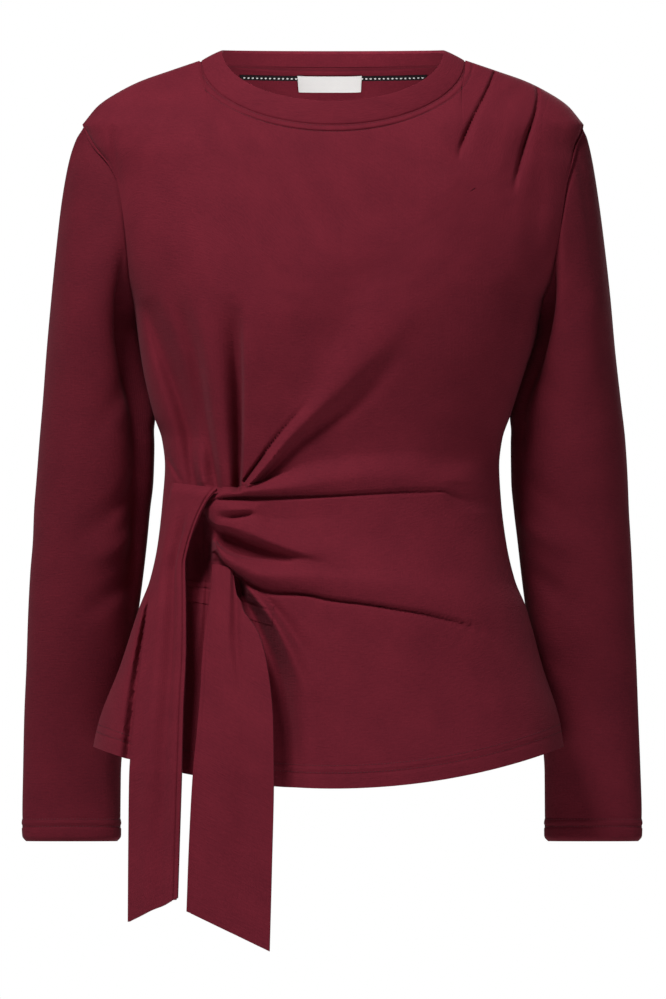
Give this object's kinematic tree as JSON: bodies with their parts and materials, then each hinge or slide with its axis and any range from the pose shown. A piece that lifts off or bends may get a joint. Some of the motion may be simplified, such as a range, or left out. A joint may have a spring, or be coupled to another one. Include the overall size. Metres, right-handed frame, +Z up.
{
  "type": "long-sleeved draped jersey top with a tie knot",
  "caption": "Long-sleeved burgundy jersey top with a round neckband and a draped front knotted at the side waist.",
  "frame": {"origin": "midway between the two neck points, where the wearer's shoulders hold the top", "axes": "+X the wearer's left, the front faces -Y, +Z up"},
  "size_m": [0.5156, 0.2368, 0.7457],
  "materials": {
    "jersey": "matte fine-knit jersey, burgundy",
    "tape": "black neck tape with white stitches",
    "label": "blank white woven label"
  },
  "bodies": {
    "root": {"front": "jersey", "back": "jersey", "sleeve_right": "jersey", "sleeve_left": "jersey", "neckband": "jersey", "tie_side": "jersey", "tie_drape": "jersey", "knot": "jersey", "neck_tape": "tape", "label": "label"}
  },
  "joints": []
}
